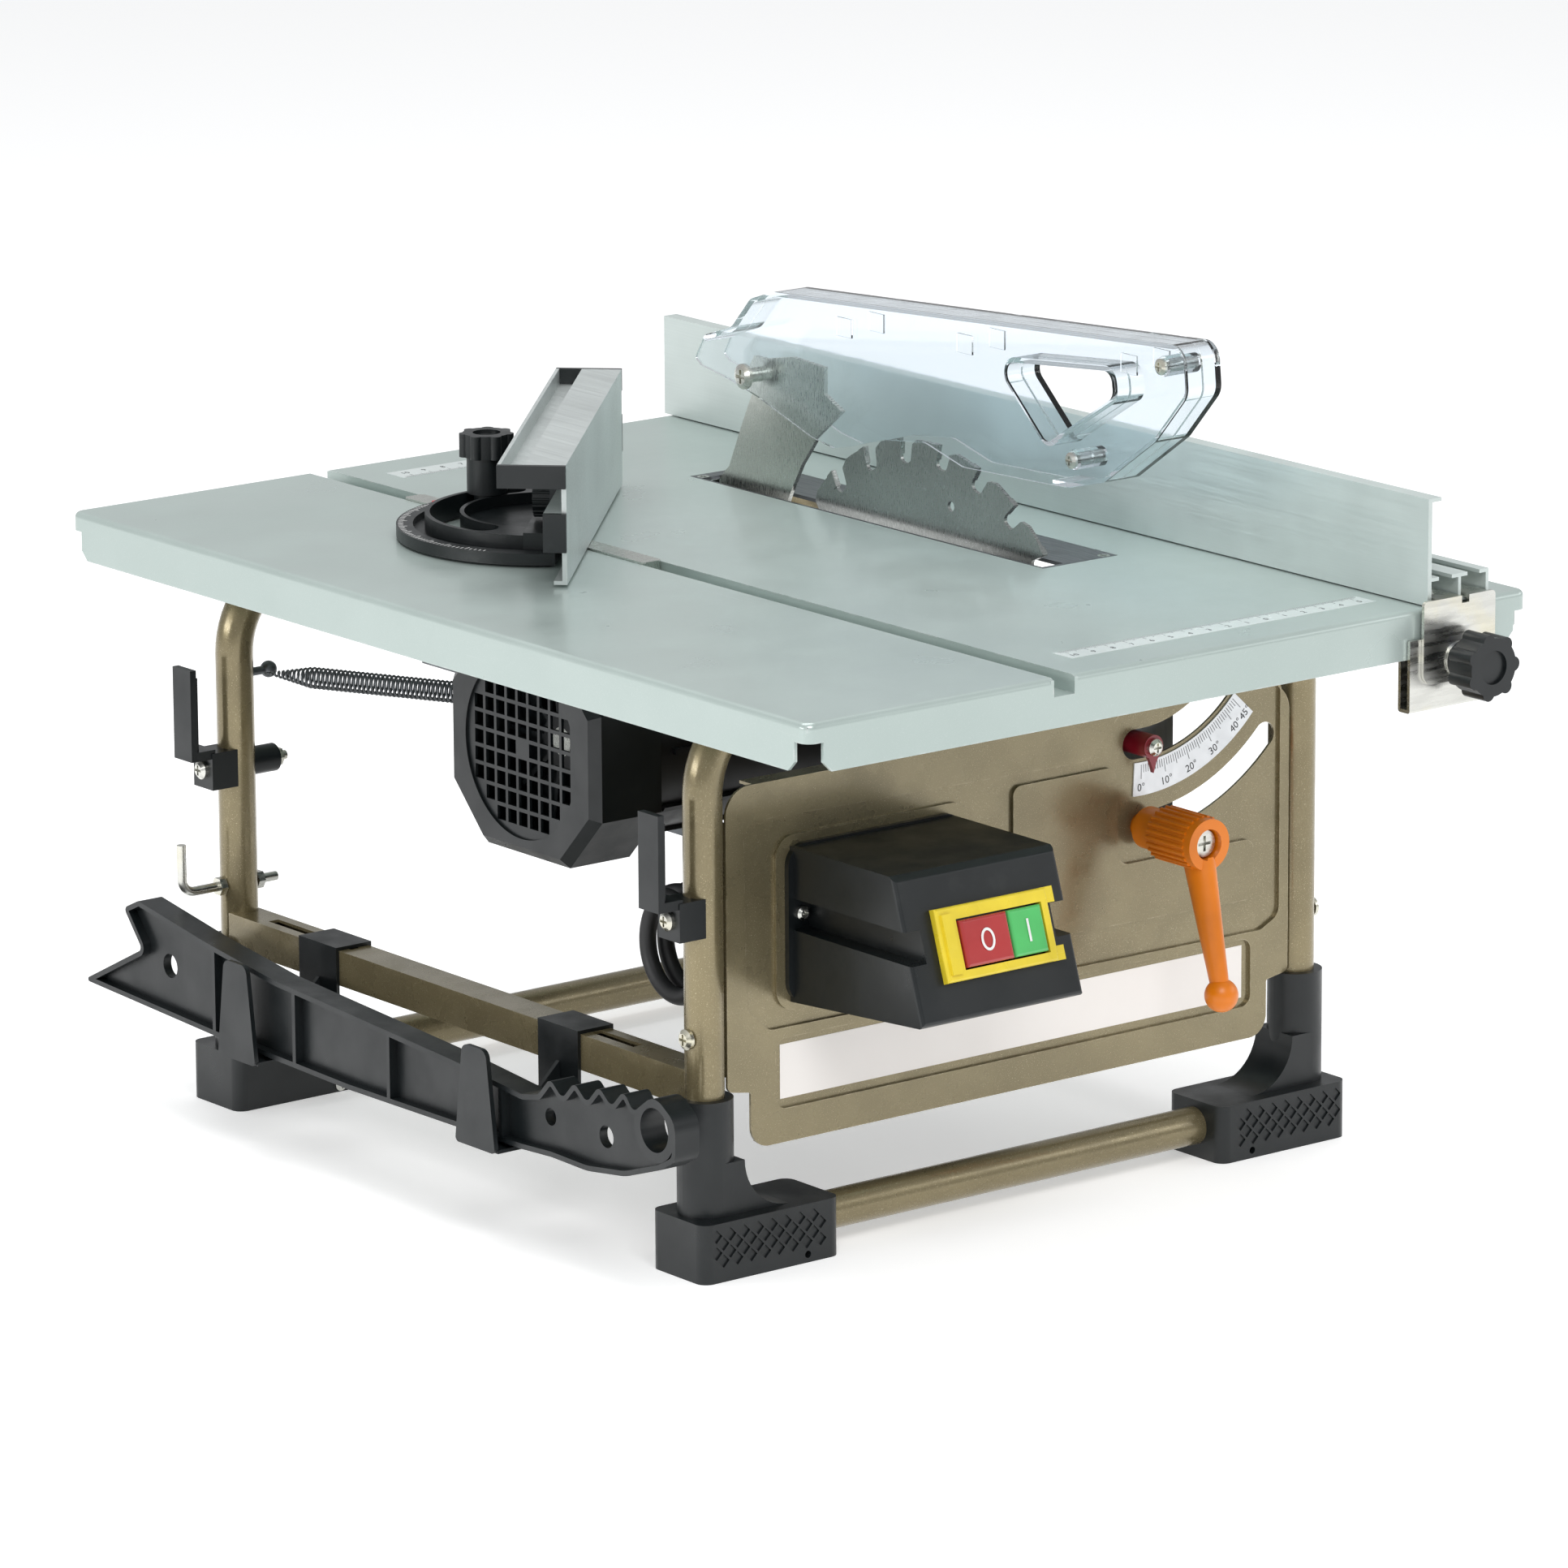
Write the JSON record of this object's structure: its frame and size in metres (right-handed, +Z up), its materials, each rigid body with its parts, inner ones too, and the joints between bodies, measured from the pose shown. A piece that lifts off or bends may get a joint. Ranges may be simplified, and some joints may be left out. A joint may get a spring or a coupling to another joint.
{
  "type": "table saw",
  "caption": "Bench table saw on a bent tube stand with tilting blade unit, clear blade guard, riving knife, rip fence, mitre gauge and push stick.",
  "frame": {"origin": "middle of the whole saw's outline, on the bench under the feet", "axes": "+Z up, +X to the right of someone standing at the switch, +Y to the rear, in the cutting direction"},
  "size_m": [0.393, 0.5304, 0.3538],
  "materials": {
    "table_paint": "satin",
    "frame_bronze": "metallic satin",
    "panel_bronze": "metallic satin",
    "black_plastic": "moulded, fine grain",
    "orange_plastic": "satin",
    "yellow_plastic": "satin",
    "red_plastic": "gloss",
    "green_plastic": "gloss",
    "crimson_plastic": "satin",
    "zinc_plate": "yellow zinc plated",
    "bright_steel": "ground",
    "dark_steel": "blackened",
    "aluminium_extrusion": "anodised satin",
    "scale_plate": "printed satin",
    "clear_guard": "clear moulded plastic",
    "motor_black": "satin",
    "copper_core": "wound copper and laminated steel",
    "cable_rubber": "matt"
  },
  "bodies": {
    "stand": {"front_frame": "frame_bronze", "rear_frame": "frame_bronze", "side_rails": "frame_bronze", "feet_outer_halves": "black_plastic", "feet_inner_halves": "black_plastic", "frame_screws": "zinc_plate", "table_top": "table_paint", "table_insert": "dark_steel", "insert_screws": "bright_steel", "front_panel": "panel_bronze", "tilt_scale": "scale_plate", "trunnion_plates": "dark_steel", "table_bolts": "zinc_plate", "switch_box": "black_plastic", "switch_frame": "yellow_plastic", "cable_hooks": "black_plastic", "hook_bolts": "zinc_plate", "storage_rod": "zinc_plate", "stick_hooks": "black_plastic", "supply_cable": "cable_rubber", "spring_post": "dark_steel", "counter_spring": "dark_steel"},
    "bevel_cradle": {"cradle_frame": "dark_steel", "guide_rods": "bright_steel", "riving_knife": "bright_steel", "cradle_screws": "zinc_plate", "tilt_pointer": "crimson_plastic", "crank_sleeve": "orange_plastic"},
    "blade_guard": {"guard_left": "clear_guard", "guard_right": "clear_guard", "guard_screws": "zinc_plate"},
    "motor_unit": {"motor_carriage": "dark_steel", "motor_housing": "motor_black", "fan_cover": "black_plastic", "stator": "copper_core", "bearings": "bright_steel", "blade_shroud": "motor_black"},
    "arbor": {"saw_blade": "bright_steel", "rotor": "bright_steel", "arbor_hardware": "dark_steel", "cooling_fan": "black_plastic"},
    "crank": {"crank_handle": "orange_plastic", "crank_shaft": "zinc_plate"},
    "height_screw": {"lead_screw": "bright_steel"},
    "rip_fence": {"fence_rail": "aluminium_extrusion", "fence_bracket": "zinc_plate", "fence_rivets": "bright_steel", "fence_clamp": "zinc_plate"},
    "rip_fence_knob": {"fence_knob": "black_plastic", "fence_screw": "zinc_plate"},
    "mitre_slider": {"mitre_bar": "bright_steel", "mitre_pointer": "red_plastic"},
    "mitre_gauge": {"mitre_head": "black_plastic", "mitre_fence": "aluminium_extrusion", "mitre_end_caps": "black_plastic", "mitre_clamp_screws": "black_plastic"},
    "mitre_gauge_knob": {"mitre_knob": "black_plastic"},
    "stick": {"push_stick": "black_plastic"},
    "stop_switch": {"stop_button": "red_plastic"},
    "start_switch": {"start_button": "green_plastic"}
  },
  "joints": [
    {"name": "bevel_tilt", "type": "hinge", "parent": "stand", "child": "bevel_cradle", "pos_m": [0.078, -0.00025, 0.243], "axis": [0, -1, 0], "range_deg": [0, 45]},
    {"name": "crank_turn", "type": "hinge", "parent": "bevel_cradle", "child": "crank", "pos_m": [0.078, -0.14125, 0.148], "axis": [0, 1, 0], "range_deg": [-3605, 365]},
    {"name": "height_screw_turn", "type": "hinge", "parent": "bevel_cradle", "child": "height_screw", "pos_m": [0.078, -0.11195, 0.188], "axis": [0, 0, 1], "range_deg": [-3605, 365]},
    {"name": "blade_rise", "type": "slide", "parent": "bevel_cradle", "child": "motor_unit", "axis": [0, 0, 1], "range_m": [-0.04, 0.004]},
    {"name": "arbor_spin", "type": "hinge", "parent": "motor_unit", "child": "arbor", "pos_m": [0.078, -0.00025, 0.187], "axis": [1, 0, 0], "continuous": true},
    {"name": "guard_pivot", "type": "hinge", "parent": "bevel_cradle", "child": "blade_guard", "pos_m": [0.078, 0.11275, 0.298], "axis": [-1, 0, 0], "range_deg": [-6, 50]},
    {"name": "fence_slide", "type": "slide", "parent": "stand", "child": "rip_fence", "axis": [1, 0, 0], "range_m": [-0.045, 0.02]},
    {"name": "fence_knob_turn", "type": "hinge", "parent": "rip_fence", "child": "rip_fence_knob", "pos_m": [0.156, -0.25125, 0.2255], "axis": [0, 1, 0], "range_deg": [-360, 180]},
    {"name": "mitre_slide", "type": "slide", "parent": "stand", "child": "mitre_slider", "axis": [0, 1, 0], "range_m": [-0.25, 0.06]},
    {"name": "mitre_swivel", "type": "hinge", "parent": "mitre_slider", "child": "mitre_gauge", "pos_m": [-0.0489, 0.09515, 0.251], "axis": [0, 0, 1], "range_deg": [-105, 15]},
    {"name": "mitre_knob_turn", "type": "hinge", "parent": "mitre_slider", "child": "mitre_gauge_knob", "pos_m": [-0.0489, 0.13875, 0.268], "axis": [0, 0, 1], "range_deg": [-180, 360]},
    {"name": "push_stick_lift", "type": "slide", "parent": "stand", "child": "stick", "axis": [0, 0, 1], "range_m": [0, 0.26]},
    {"name": "stop_press", "type": "slide", "parent": "stand", "child": "stop_switch", "axis": [0, 0.9496, -0.3136], "range_m": [0, 0.0025], "stiffness_N_per_m": 400},
    {"name": "start_press", "type": "slide", "parent": "stand", "child": "start_switch", "axis": [0, 0.9496, -0.3136], "range_m": [0, 0.0025], "stiffness_N_per_m": 400}
  ],
  "couplings": [
    {"joint": "crank_turn", "follows": "blade_rise", "rad_per_m": 1570.8},
    {"joint": "height_screw_turn", "follows": "blade_rise", "rad_per_m": 1570.8}
  ]
}
